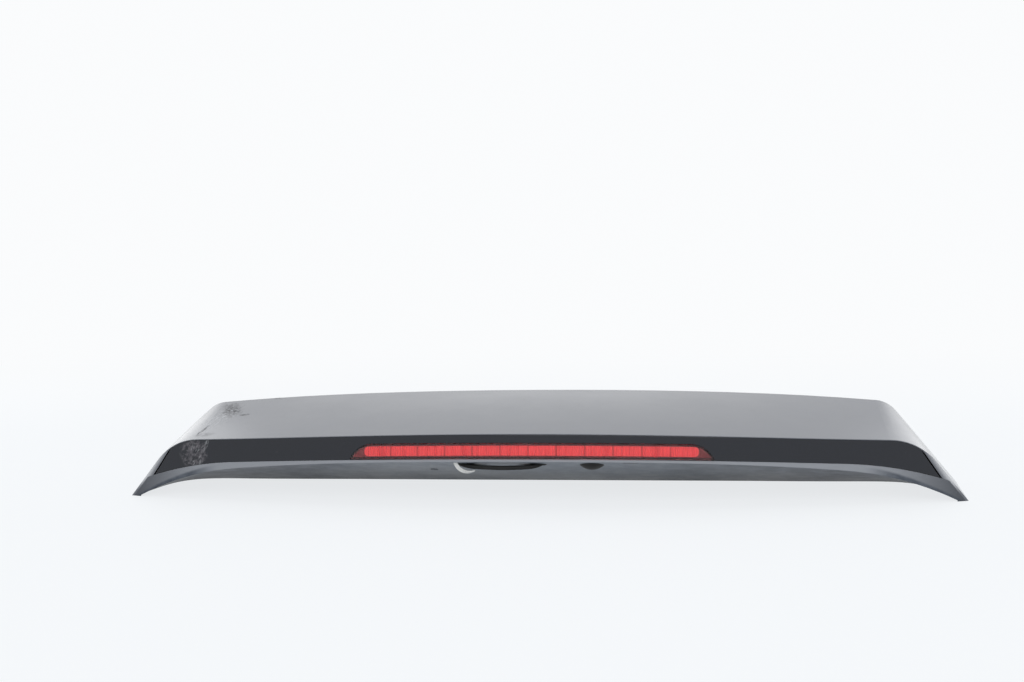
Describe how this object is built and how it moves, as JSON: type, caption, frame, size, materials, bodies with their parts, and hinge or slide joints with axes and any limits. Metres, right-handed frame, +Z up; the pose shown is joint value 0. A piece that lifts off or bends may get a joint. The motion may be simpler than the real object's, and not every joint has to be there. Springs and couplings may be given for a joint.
{
  "type": "car rear spoiler",
  "caption": "Wide, arched roof spoiler for a car tailgate: painted top shell, gloss black rear band with a slim red brake lamp, dark underside with a lamp lead.",
  "frame": {"origin": "under the middle of the part, on the surface it stands on", "axes": "+X to the car's right seen from behind, +Y to the car's front, +Z up"},
  "size_m": [1.2172, 0.228, 0.1255],
  "materials": {
    "upper_shell": "metallic grey paint under clear coat",
    "rear_trim": "gloss black",
    "lower_shell": "dark grey satin paint",
    "lamp_lens": "clear red",
    "lamp_bezel": "dark red",
    "lamp_optic": "fluted red",
    "lamp_housing": "black moulded",
    "lamp_board": "green circuit board",
    "lamp_chips": "moulded",
    "lamp_gasket": "closed-cell foam",
    "lamp_screws": "zinc plated",
    "lamp_lead": "black sheath",
    "lamp_plug": "black moulded",
    "body_plug": "black moulded",
    "lead_grommets": "soft rubber",
    "lead_strap": "white woven tape",
    "rubber_plug": "soft rubber",
    "mount_inserts": "turned",
    "locating_pins": "natural moulded",
    "foam_seal": "open foam",
    "edge_seal": "soft rubber",
    "buffers": "soft rubber"
  },
  "bodies": {
    "root": {"upper_shell": "upper_shell", "rear_trim": "rear_trim", "lower_shell": "lower_shell", "lamp_lens": "lamp_lens", "lamp_bezel": "lamp_bezel", "lamp_optic": "lamp_optic", "lamp_housing": "lamp_housing", "lamp_board": "lamp_board", "lamp_chips": "lamp_chips", "lamp_gasket": "lamp_gasket", "lamp_screws": "lamp_screws", "lamp_lead": "lamp_lead", "lamp_plug": "lamp_plug", "body_plug": "body_plug", "lead_grommets": "lead_grommets", "lead_strap": "lead_strap", "rubber_plug": "rubber_plug", "mount_inserts": "mount_inserts", "locating_pins": "locating_pins", "foam_seal": "foam_seal", "edge_seal": "edge_seal", "buffers": "buffers"}
  },
  "joints": []
}
